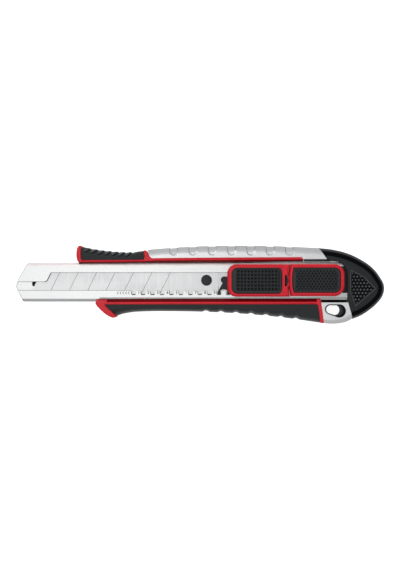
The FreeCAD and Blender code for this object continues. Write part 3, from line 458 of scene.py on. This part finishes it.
RAIL_TOP = smooth([
    (-30, 18.8), (-18.4, 19.75), (-1.1, 20.75), (22.7, 21.15), (44.3, 20.8), (64.3, 19.85), (69, 19.4),
])
FLUTES = [-14.3 + 10.43 * i for i in range(7)]
FLUTE_HALF = 2.3
FLUTE_BASE = 18.0
FLUTE_DEPTH = 0.34


def rail_ring(u):
    """The rail's section at a share u of its length."""
    top = RAIL_TOP(-29 + u * 94)
    return section(13.72, top, 0.8, 15.6, 4.3, 3.6, flat=18, arc=20, side=12)


def flute_depth(x, y):
    """How far inside the nearest thumb flute a place is."""
    near = min(abs(x - c) for c in FLUTES)
    return FLUTE_HALF - (near if y > FLUTE_BASE else math.hypot(near, y - FLUTE_BASE))


def rail_push(x, y, z, ny, nz):
    """How far the thumb flutes sink the rail's spine and front."""
    if z < 4.0 or (nz <= 0 and ny <= 0):
        return 0.0
    return FLUTE_DEPTH * ease(flute_depth(x, y) / 0.45) * ease((z - 4.0) / 2.0)


rail_verts, rail_faces = bar(
    520, rail_ring, lambda y: -26.6 - (y - 13.0) * 0.32, lambda y: 68.55 - (y - 13.7) * 0.699, rail_push,
)
# Faces on the rim of each thumb flute take the painted shade outline.
rail_numbers = []
for face in rail_faces:
    x, y, z = (sum(rail_verts[i][k] for i in face) / len(face) for k in range(3))
    rail_numbers.append(1 if z > 11 and 0.0 < flute_depth(x, y) < 0.30 else 0)
piece(
    "spine_rail_cast", [(rail_verts, rail_faces, rail_numbers)], [SILVER, LINE_PAINTED_SHADE], "handle", ["spine_rail"],
    sharp=50,
)


# ---- grips ---------------------------------------------------------------------------------------

UPPER_TOP = smooth([
    (-66, 20.8), (-64.5, 20.6), (-61.6, 20.0), (-57.5, 19.35), (-53.6, 18.75), (-49, 18.25),
    (-42, 17.75), (-36, 17.75), (-30, 18.35),
])
RIB_PITCH = 3.70
RIB_SLANT = 1.25
RIB_SHOULDER = 0.2
RIB_DEPTH = 0.85
CREST_BELOW = (0.7, 1.9)
CREST_PART = (0.20, 0.55)
RIBS = [-58.9 + RIB_PITCH * i for i in range(7)]


def upper_ring(u):
    """The finger grip's section at a share u of its length."""
    return section(13.2, UPPER_TOP(-64.5 + u * 34.2), 0.0, 15.9, 2.6, 3.0, flat=22, arc=14, side=20)


def rib_groove(x, y):
    """How deep the slanted grooves between the ribs are at a place, from 0 to 1."""
    below = UPPER_TOP(x) - y
    groove = 0.0
    for c in RIBS:
        t = (x - c + RIB_SLANT * max(0.0, below - RIB_SHOULDER)) / RIB_PITCH
        groove = max(groove, ease(1 - abs(t) / 0.22))
        if 0 <= t < 1:
            groove = max(groove, 0.40 * ease(1 - t / 0.9))
    return groove * ease((x + 63.2) / 1.5) * ease((-31.6 - x) / 1.5) * ease((3.6 - below) / 1.8)


def upper_push(x, y, z, ny, nz):
    """How far the grooves between the ribs sink the finger grip."""
    if nz > -0.02 and ny <= 0.0 and nz < 0.5:
        return 0.0
    return RIB_DEPTH * rib_groove(x, y)


def on_crest(x, y):
    """Whether a place is on the crest of a rib, just before its groove, where the painted highlight goes."""
    below = UPPER_TOP(x) - y
    if not CREST_BELOW[0] < below < CREST_BELOW[1]:
        return False
    ahead = [(c - x - RIB_SLANT * (below - RIB_SHOULDER)) / RIB_PITCH for c in RIBS]
    return any(CREST_PART[0] < part < CREST_PART[1] for part in ahead)


upper_verts, upper_faces = bar(230, upper_ring, lambda y: -64.4, lambda y: -30.3, upper_push)
# Groove faces take the painted shade (finish 1), rib crests the painted highlight (finish 2).
upper_numbers = []
for face in upper_faces:
    x, y, z = (sum(upper_verts[i][k] for i in face) / len(face) for k in range(3))
    groove = z > 12 and rib_groove(x, y + 0.3) > 0.55
    upper_numbers.append(1 if groove else 2 if z > 12 and on_crest(x, y) else 0)
piece(
    "finger_grip", [(upper_verts, upper_faces, upper_numbers)], [SOFT, PIT_PAINTED_SHADE, RIB_PAINTED_HIGHLIGHT], "handle", ["upper_grip"],
    sharp=40,
)

LOWER_EDGE = smooth([
    (-46, -17.15), (-43, -16.55), (-40.0, -15.85), (-33.5, -14.95), (-26, -14.6), (-18.4, -14.5),
    (-1.1, -14.7), (16.2, -15.4), (33.5, -16.7), (48.6, -18.4), (60, -20.0), (65, -20.75),
])
BITES = [3.2 + 8.17 * i for i in range(7)]


def lower_ring(u):
    """The palm grip's section at a share u of its length."""
    edge = LOWER_EDGE(-45.3 + u * 110.15)
    tall = -10.7 - edge
    return section(-10.7, edge, 0.0, 16.0, min(3.6, 0.62 * tall), 4.6, flat=14, arc=16, side=20)


def lower_push(x, y, z, ny, nz):
    """How far the seven hollows sink the palm grip's edge."""
    if ny >= -0.02:
        return 0.0
    near = min(abs(x - c) for c in BITES)
    return 0.7 * (0.5 + 0.5 * math.cos(math.pi * min(1.0, near / 2.1))) ** 0.7 * ease(-ny / 0.9)


lower = bar(
    360, lower_ring, lambda y: -51.9 + (-11.15 - y) * 1.0645, lambda y: 63.75 + (-10.75 - y) * 0.1106,
    lower_push,
)
piece("palm_grip", [lower], [SOFT], "handle", ["lower_grip"], sharp=40)


# ---- red trims -----------------------------------------------------------------------------------

def bead(start, end, inner, outer, base, crest, mirror=None, top=0.58):
    """A half-round bead: low and sloping on its channel side (inner), which gets painted shade, full on its
    outer side.
    """
    count = 120
    profile = []
    for i in range(13):
        a = i / 12 * math.pi
        profile.append((top - (1 - top if a > math.pi / 2 else top) * math.cos(a), math.sin(a)))
    rings = []
    for k in range(count + 1):
        x = start + (end - start) * k / count
        low, high = inner(x), outer(x)
        shrink = 1.0 - 0.55 * max(0.0, 1 - (end - x) / 0.9) ** 2
        ring = [(x, low, base)]
        for t, h in profile:
            steep = 0.85 if t > top else 1.7
            z = base + 0.35 + (crest - base - 0.35) * (h ** steep) * shrink
            ring.append((x, low + (high - low) * t, z))
        ring.append((x, high, base))
        if mirror is not None:
            ring = [(a, b, mirror - c) for a, b, c in ring]
        rings.append(ring)
    verts, faces = loft(rings)
    size = len(rings[0])
    # Finish 1, the painted shade, goes on the first six points of each ring, the bead's channel side.
    return verts, faces, [1 if i < count * size and i % size < 6 else 0 for i in range(len(faces))]


UP_IN = smooth([(-66, 11.15), (-48, 11.3), (-26, 11.6), (10, 11.85), (56, 12.3)])
UP_OUT = smooth([(-66, 13.5), (-33, 13.65), (-30, 13.9), (-26, 14.4), (-20, 14.55), (10, 14.85), (56, 15.1)])
upper_nose = plate([
    (-65.0, 12.2), (-65.9, 12.4), (-66.4, 13.3), (-66.75, 15.2), (-66.75, 17.5), (-66.4, 19.5),
    (-65.9, 20.5), (-65.1, 21.05), (-64.4, 20.95), (-64.2, 20.3), (-64.3, 19.6), (-64.35, 18.6),
    (-64.45, 16.5), (-64.35, 14.2), (-63.9, 13.3), (-62.5, 12.9), (-62.5, 12.2),
], 0.3, 16.6, 0.45)
upper_riser = plate([
    (-30.0, 12.9), (-30.05, 15.5), (-30.4, 17.0), (-30.5, 18.1), (-30.1, 18.45), (-29.4, 18.5),
    (-28.95, 18.1), (-28.3, 16.6), (-27.5, 15.2), (-26.2, 14.3), (-25.0, 13.6), (-25.0, 12.9),
], 0.3, 16.5, 0.4)
piece(
    "upper_trim_bead",
    [
        bead(-65.6, 55.8, UP_IN, UP_OUT, 13.3, 16.6),
        bead(-65.6, 55.8, lambda x: 12.1, UP_OUT, 13.3, 16.6, 16.9), upper_nose, upper_riser,
    ],
    [RED, RED_PAINTED_SHADE], "handle", ["upper_trim"], sharp=45,
)

LOW_IN = smooth([(-56, -8.2), (-52, -7.75), (66, -7.6)])
LOW_OUT = smooth([(-56, -11.5), (-52, -11.3), (66, -11.05)])
lower_nose = plate([
    (-53.0, -8.1), (-54.6, -7.9), (-55.7, -8.6), (-56.5, -9.7), (-56.45, -10.5), (-55.3, -12.1),
    (-53.1, -14.3), (-50.7, -16.3), (-48.6, -17.5), (-47.2, -18.0), (-46.1, -17.9), (-45.35, -17.3),
    (-45.9, -16.4), (-48.3, -14.2), (-51.0, -11.7), (-51.4, -10.9), (-50.5, -10.4), (-50.0, -8.1),
], 0.3, 16.4, 0.45)
lower_tail = plate([
    (63.0, -10.3), (63.6, -11.5), (64.2, -14.5), (64.65, -18.0), (64.9, -20.4), (65.5, -20.85),
    (66.55, -20.9), (66.75, -20.4), (66.2, -15.5), (65.55, -11.5), (65.25, -8.5), (64.7, -7.8),
    (63.0, -7.8),
], 0.3, 16.4, 0.4)
piece(
    "lower_trim_bead",
    [
        bead(-55.0, 65.0, LOW_IN, LOW_OUT, 13.6, 16.4, top=0.66),
        bead(-54.0, 65.0, lambda x: -9.5, LOW_OUT, 13.3, 16.4, 16.7),
        plate([(-54.0, -9.5), (-53.0, -11.1), (64.5, -10.9), (64.5, -9.5)], 13.35, 14.3, 0.1),
        lower_nose, lower_tail,
    ],
    [RED, RED_PAINTED_SHADE], "handle", ["lower_trim"], sharp=45,
)


# ---- pads ----------------------------------------------------------------------------------------

def rounded(x0, x1, y0, y1, r_left, r_right, bow=0.0):
    """Outline of a pad; its nose side can be bowed."""
    steps = 8
    points = []
    for cx, cy, r, a0 in (
        (x1 - r_right, y1 - r_right, r_right, 0), (x0 + r_left, y1 - r_left, r_left, 90),
        (x0 + r_left, y0 + r_left, r_left, 180), (x1 - r_right, y0 + r_right, r_right, 270),
    ):
        for i in range(steps + 1):
            a = math.radians(a0 + 90 * i / steps)
            points.append((cx + r * math.cos(a), cy + r * math.sin(a)))
        if bow and a0 == 90:
            for i in range(1, 10):
                y = y1 - r_left + (y0 - y1 + 2 * r_left) * i / 10
                middle = (y0 + y1) / 2
                half = (y1 - y0) / 2 - r_left
                points.append((x0 - bow * (1 - ((y - middle) / half) ** 2), y))
    return points


WAFFLE_PITCH = (1.84, 1.88)
STUD_PITCH = (1.80, 1.40)


def waffle(x, y):
    """Square pits between thin rounded walls."""
    s = inside_rounded(x, y, 19.6, 42.6, -3.35, 7.95, 1.2)
    if s < 0:
        return None
    along, across = WAFFLE_PITCH
    u = abs(((x - 31.6) / along + 0.5) % 1.0 - 0.5) * along
    v = abs(((y - 2.3) / across) % 1.0 - 0.5) * across
    ridge = max(ease((u - 0.46) / 0.26), ease((v - 0.46) / 0.26), ease(1 - s / 0.3))
    return 18.80 + 0.62 * ridge * (1 - 0.35 * ease(1 - s / 0.3))


def studs(x, y):
    """Staggered round pits."""
    s = inside_rounded(x, y, 51.1, 74.45, -3.35, 8.0, 2.2)
    if s < 0:
        return None
    along, across = STUD_PITCH
    row = math.floor((y + 3.25) / across)
    u = (((x - 52.2) / along + 0.5 * (row % 2)) % 1.0 - 0.5) * along
    v = (((y + 3.25) / across) % 1.0 - 0.5) * across
    pit = ease(1 - (math.hypot(u, v) - 0.30) / 0.42) * ease((s - 0.35) / 0.3)
    return 19.42 - 0.60 * pit


def framed(outline, hollow, z0, z1, edge):
    """A pad with a sunken floor: a rounded plate whose top is open over the hollow outline."""
    verts, faces = plate(outline, z0, z1, edge)
    rim = len(outline)
    top = list(faces.pop())
    first = len(verts)
    verts = verts + [(x, y, z1) for x, y in hollow] + [(x, y, z1 - 0.7) for x, y in hollow]
    for i in range(rim):
        j = (i + 1) % rim
        faces.append((top[i], top[j], first + j, first + i))
        faces.append((first + i, first + j, first + rim + j, first + rim + i))
    faces.append(tuple(range(first + rim, first + 2 * rim)))
    return verts, faces


def pit_numbers(sheet, level, crest=1e9):
    """Finish 1 for the faces of a relief sheet that lie below a level, and 2 for those above a crest."""
    verts, faces = sheet
    heights = [sum(verts[i][2] for i in f) / len(f) for f in faces]
    return verts, faces, [1 if z < level else 2 if z > crest else 0 for z in heights]


slider_pad = framed(
    rounded(16.95, 43.95, -4.95, 8.95, 3.2, 1.9), rounded(19.5, 42.7, -3.45, 8.05, 1.2, 1.0), 16.6,
    19.3, 0.55,
)
pad_end = plate([
    (44.58, 8.97), (41.9, 8.97), (42.3, 8.93), (43.0, 8.65), (43.55, 8.15), (43.9, 7.4), (44.1, 5.2),
    (44.15, 2.0), (44.1, -1.2), (43.9, -3.4), (43.55, -4.15), (43.0, -4.65), (42.3, -4.93),
    (41.9, -4.97), (44.58, -4.97),
], 16.6, 19.38, 0.02, 1)
# Waffle faces below 18.94 mm take the painted shade of the pits.
waffle_sheet = pit_numbers(relief_sheet(19.4, 42.8, -3.5, 8.1, 0.115, waffle, 18.6), 18.94)
piece(
    "slider_pad_grip", [slider_pad, waffle_sheet], [PAD, PIT_PAINTED_SHADE],
    "slider", ["slider_pad"], sharp=60,
)
piece("slider_frame_end", [pad_end], [RED], "slider", [], sharp=60)
lever_pad = framed(
    rounded(50.25, 75.55, -4.4, 9.1, 0.8, 3.3, bow=0.8), rounded(51.15, 74.4, -3.4, 8.05, 0.5, 2.2, bow=0.05),
    17.4, 19.3, 0.55,
)
# Stud pit faces below 18.98 mm take the painted shade.
stud_sheet = pit_numbers(relief_sheet(51.0, 74.6, -3.6, 8.2, 0.115, studs, 18.5), 18.98)
piece(
    "lever_pad_grip", [lever_pad, stud_sheet], [PAD, PIT_PAINTED_SHADE],
    "lever", ["lever_pad"], sharp=60,
)


# ---- tail cap ------------------------------------------------------------------------------------

def outer_curve():
    """The cap's free edge from the spine round the tail to the lanyard block, evenly spaced."""
    knots = [
        (64.6, 19.8), (72.4, 18.9), (81.1, 16.55), (89.7, 12.1), (94.6, 8.05), (98.3, 3.0), (99.6, 0.3),
        (99.95, -2.2), (99.5, -4.9), (98.3, -7.5), (95.0, -11.3), (91.3, -14.3), (87.2, -16.9), (82.8, -18.7),
    ]
    run = [0.0]
    for a, b in zip(knots, knots[1:]):
        run.append(run[-1] + math.dist(a, b))
    fx = smooth([(s, p[0]) for s, p in zip(run, knots)])
    fy = smooth([(s, p[1]) for s, p in zip(run, knots)])
    count = 150
    return [(fx(run[-1] * i / count), fy(run[-1] * i / count)) for i in range(count + 1)]


OUTER = outer_curve()
INNER = [
    (80.6, -9.75), (80.1, -9.6), (79.5, -9.3), (79.45, -5.0), (79.45, 0.0), (79.45, 5.6), (79.1, 7.4),
    (78.2, 9.4), (76.8, 11.1), (75.0, 12.1), (73.1, 12.5), (71.2, 12.6), (69.9, 12.75), (69.1, 13.3),
    (68.75, 13.85),
]


def cap_ring(distance, z, pull=0.0):
    """The cap's outline at one level, with its free edge moved in and its joint edge pulled back."""
    ring = []
    first, last = Vector((68.75, 13.85)) - Vector(OUTER[0]), Vector((80.6, -9.75)) - Vector(OUTER[-1])
    count = len(OUTER)
    for i, p in enumerate(OUTER):
        a, b = Vector(OUTER[max(i - 1, 0)]), Vector(OUTER[min(i + 1, count - 1)])
        t = (b - a).normalized()
        n = Vector((t.y, -t.x))
        for joint, steps in ((first, i), (last, count - 1 - i)):
            w = ease(1 - steps / 14)
            j = joint.normalized()
            n = n.lerp(j / max(0.3, j.dot(Vector((t.y, -t.x)))), w)
        ring.append((p[0] + n.x * distance, p[1] + n.y * distance, z))
    for x, y in INNER:
        ring.append((x + pull, y + (pull if y > 9 else 0.0), z))
    return ring


CAP_LEVELS = [
    (1.7, 0.0, 0.2), (0.8, 0.35, 0.05), (0.25, 1.2, 0), (0.05, 2.6, 0), (0, 4.0, 0), (0, 9.0, 0),
    (0, 12.3, 0), (0.08, 13.1, 0), (0.35, 13.9, 0), (0.85, 14.65, 0), (1.5, 15.25, 0), (2.3, 15.65, 0),
    (3.1, 15.85, 0.0), (3.55, 15.90, 0.0), (3.68, 15.80, 0.0), (3.78, 16.1, 0.0), (3.86, 16.38, 0.06),
    (4.05, 16.54, 0.14), (4.4, 16.6, 0.3),
]
cap_verts, cap_faces = loft([cap_ring(*level) for level in CAP_LEVELS])
ring_size = len(OUTER) + len(INNER)
# Faces between rings 10 and 15, the band inside the gloss rim, take the painted shade.
gloss_end, shade_band_end = 10 * ring_size, 15 * ring_size
cap_numbers = [0 if i < gloss_end else 2 if i < shade_band_end else 1 for i in range(len(cap_faces))]
cap_numbers[-2] = 0  # the lid on the back
CAP_STUD_PITCH = (1.85, 1.76)
TRIANGLE = [(80.75, 8.5), (80.65, -3.9), (83.6, -12.3), (95.2, -2.2), (88.4, 4.5)]


def cap_studs(x, y):
    """A raised border round staggered studs."""
    s = inside(x, y, TRIANGLE)
    if s < 0.05:
        return None
    if s < 0.85:
        return 16.56 + 0.42 * math.sin(math.pi * (s - 0.05) / 0.8) ** 0.6
    along, across = CAP_STUD_PITCH
    row = math.floor((y + 12.5) / across)
    u = (((x - 81.0) / along + 0.5 * (row % 2)) % 1.0 - 0.5) * along
    v = (((y + 12.5) / across) % 1.0 - 0.5) * across
    stud = ease(1 - (abs(u) + abs(v) - 0.30) / 0.75)
    return 16.6 + 0.55 * stud * ease((s - 0.85) / 0.3)


flange = plate(
    [(76.0, -3.6), (76.0, 9.9), (78.2, 9.9), (79.7, 6.0), (79.7, -4.6), (77.0, -4.6)], 14.06, 14.5, 0.1,
)
tongue = plate([(56.3, 12.4), (56.3, 13.65), (70.5, 13.65), (70.5, 12.4)], 13.6, 15.5, 0.2)
piece(
    "tail_cap_shell",
    [
        (cap_verts, cap_faces, cap_numbers), (tongue[0], tongue[1], [1] * len(tongue[1])),
        (flange[0], flange[1], [1] * len(flange[1])),
    ],
    [CAP_RIM, CAP_FACE, CAP_PAINTED_SHADE], "cap", ["tail_cap"], sharp=40,
)
# Stud sheet faces below 16.7 mm take the painted shade, those above 16.92 mm the painted highlight.
piece(
    "tail_cap_studs", [pit_numbers(relief_sheet(80.0, 95.6, -12.6, 8.9, 0.12, cap_studs, 16.3), 16.7, 16.92)],
    [CAP_FACE, CAP_PIT_PAINTED_SHADE, CAP_STUD_PAINTED_HIGHLIGHT], "cap", [],
    sharp=60,
)


# ---- lever spring --------------------------------------------------------------------------------

coil_source = NODES["lever_spring"]
coil_part = (
    [tuple(c / MM for c in coil_source.matrix_world @ v.co) for v in coil_source.data.vertices],
    [tuple(f.vertices) for f in coil_source.data.polygons],
)
coil = piece("lever_coil", [coil_part], [SPRING], "slider", ["lever_spring"])
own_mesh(coil)


# ---- small fillers, and ribbons and strips of painted shade --------------------------------------

# A near-black strip laid in the gap between the channel and the lanyard block: the painted shadow of that gap.
gap_shade_strip = plate([(65.4, -9.62), (65.4, -8.35), (79.3, -8.35), (79.3, -9.62)], 13.55, 13.8, 0.05, 1)
piece("channel_gap_painted_shade", [gap_shade_strip], [CAP_PAINTED_SHADE], "handle", [])


LIP = 14.02
RACK_FIRST = -37.1
RACK_PITCH = 5.13
NOTCHES = 11
NUMERALS = 9
# Grey ribbons laid just above the lips: painted shade along the sheet's cut edges, the blade nose and the rack
# teeth.
sheet_edge_shade_ribbons = [
    ribbon([(-98.75, 2.4), (-93.7, 11.0)], 0.2, -1, LIP), ribbon([(-98.85, 1.5), (-84.6, 1.5)], 0.2, 1, LIP),
    ribbon([(-80.6, 6.4), (81.5, 6.4)], 0.22, 1, LIP), ribbon([(-98.4, -3.15), (-37.2, -3.15)], 0.2, -1, LIP),
    ribbon([(-98.35, -4.2), (-95.7, -9.0)], 0.2, 1, LIP),
    ribbon([(-98.8, 1.4), (-99.5, 0.2), (-99.75, -1.0), (-99.4, -2.2), (-98.8, -3.2)], 0.2, 1, 12.42),
]
shaded_edges = [
    ribbon([(-84.3, 1.4), (-83.8, 1.42), (-83.1, 1.7), (-82.5, 2.4), (-80.55, 6.35)], 0.40, 1, LIP),
]
for i in range(NOTCHES):
    x = RACK_FIRST + RACK_PITCH * i
    shaded_edges.append(ribbon([(x, -3.6), (x, -4.9), (x + 0.25, -5.4), (x + 0.8, -5.65)], 0.26, -1, LIP))
    shaded_edges.append(ribbon([(x + 0.45, -5.7), (x + 2.1, -5.7)], 0.5, 1, LIP))
    sheet_edge_shade_ribbons.append(ribbon([(x + 3.0, -3.5), (x + 3.6, -3.15), (x + 5.0, -3.15)], 0.15, -1, LIP))
piece("sheet_edge_shade_ribbons", sheet_edge_shade_ribbons, [EDGE_PAINTED_SHADE], "handle", [])
# A grey ribbon on the lower lip: painted shade where the channel's lower fold curves away.
fold_shade_ribbon = ribbon([(-54.5, -6.95), (81.5, -6.95)], 0.70, -1, LIP)
piece("fold_shade_ribbon", [fold_shade_ribbon], [LINE_PAINTED_SHADE], "handle", [])
piece("shaded_edges", shaded_edges, [EDGE_DARK], "handle", [])
nose_pad = plate(
    [(-91.4, -3.5), (-91.4, -0.5), (-91.0, -0.45), (-90.4, -0.9), (-89.8, -1.6), (-89.5, -3.5)], 11.6,
    12.38, 0.1, 1,
)
piece("nose_pad", [nose_pad], [STEEL], "handle", [])


# ---- marks on the lower lip ----------------------------------------------------------------------

def number_mesh(text, x, y, size, level):
    """A thin raised numeral, centred on (x, y)."""
    curve = bpy.data.curves.new("numeral", "FONT")
    curve.body = text
    curve.size = size
    curve.align_x = "CENTER"
    curve.align_y = "CENTER"
    curve.extrude = 0.015
    curve.offset = 0.08
    obj = bpy.data.objects.new("numeral", curve)
    bpy.context.scene.collection.objects.link(obj)
    bpy.context.view_layer.update()
    flat = bpy.data.meshes.new_from_object(obj.evaluated_get(bpy.context.evaluated_depsgraph_get()))
    part = (
        [(v.co.x + x, v.co.y + y, v.co.z + level) for v in flat.vertices],
        [tuple(f.vertices) for f in flat.polygons],
    )
    bpy.data.objects.remove(obj)
    bpy.data.meshes.remove(flat)
    return part


numerals = [number_mesh(str(i + 1), -33.2 + RACK_PITCH * i, -4.5, 2.1, 14.01) for i in range(NUMERALS)]
arrows = [
    plate([
        (-45.2 + 1.5 * i, -4.55), (-44.4 + 1.5 * i, -3.75), (-43.95 + 1.5 * i, -3.75),
        (-44.75 + 1.5 * i, -4.55), (-43.95 + 1.5 * i, -5.35), (-44.4 + 1.5 * i, -5.35),
    ], 13.99, 14.03, 0.005, 1) for i in range(5)
]
piece("lip_marks", numerals + arrows, [INK], "handle", [])


# ---- studio --------------------------------------------------------------------------------------

floor_mesh = bpy.data.meshes.new("studio_floor")
floor_corners = [(x, y, -0.0003) for x, y in ((-3, -3), (3, -3), (3, 3), (-3, 3))]
floor_mesh.from_pydata(floor_corners, [], [(0, 1, 2, 3)])
floor_mesh.materials.append(FLOOR)
floor = bpy.data.objects.new("studio_floor", floor_mesh)
bpy.context.scene.collection.objects.link(floor)
floor.visible_glossy = False


def softbox(name, place, size, power):
    """A rectangular lamp aimed at the origin."""
    light = bpy.data.lights.new(name, "AREA")
    light.shape = "RECTANGLE"
    light.size, light.size_y = size
    light.energy = power
    obj = bpy.data.objects.new(name, light)
    obj.location = place
    obj.rotation_euler = (-Vector(place)).to_track_quat("-Z", "Y").to_euler()
    bpy.context.scene.collection.objects.link(obj)
    return obj


softbox("overhead", (-0.14, -0.03, 1.1), (1.0, 0.5), 1.30)
softbox("key", (-0.50, 0.35, 0.60), (0.30, 0.25), 1.0)
wash = softbox("wash", (0.0, 0.25, 1.5), (1.6, 1.4), 14.0)
wash.visible_glossy = False

world = bpy.data.worlds.new("studio")
bpy.context.scene.world = world
world.use_nodes = True
world.node_tree.nodes["Background"].inputs["Color"].default_value = (0.95, 0.97, 1.0, 1)
world.node_tree.nodes["Background"].inputs["Strength"].default_value = 0.42

DISTANCE = 0.575
SENSOR = 36.0
PICTURE_ROWS = 570
ROWS_PER_MM = 1.85
camera_data = bpy.data.cameras.new("camera")
camera_data.sensor_fit = "VERTICAL"
camera_data.sensor_height = SENSOR
camera_data.lens = SENSOR * DISTANCE / (PICTURE_ROWS / ROWS_PER_MM * MM)
camera = bpy.data.objects.new("camera", camera_data)
camera.location = (-0.00005, -0.00027, 0.015 + DISTANCE)
bpy.context.scene.collection.objects.link(camera)
bpy.context.scene.camera = camera
bpy.context.scene.view_settings.view_transform = "Standard"
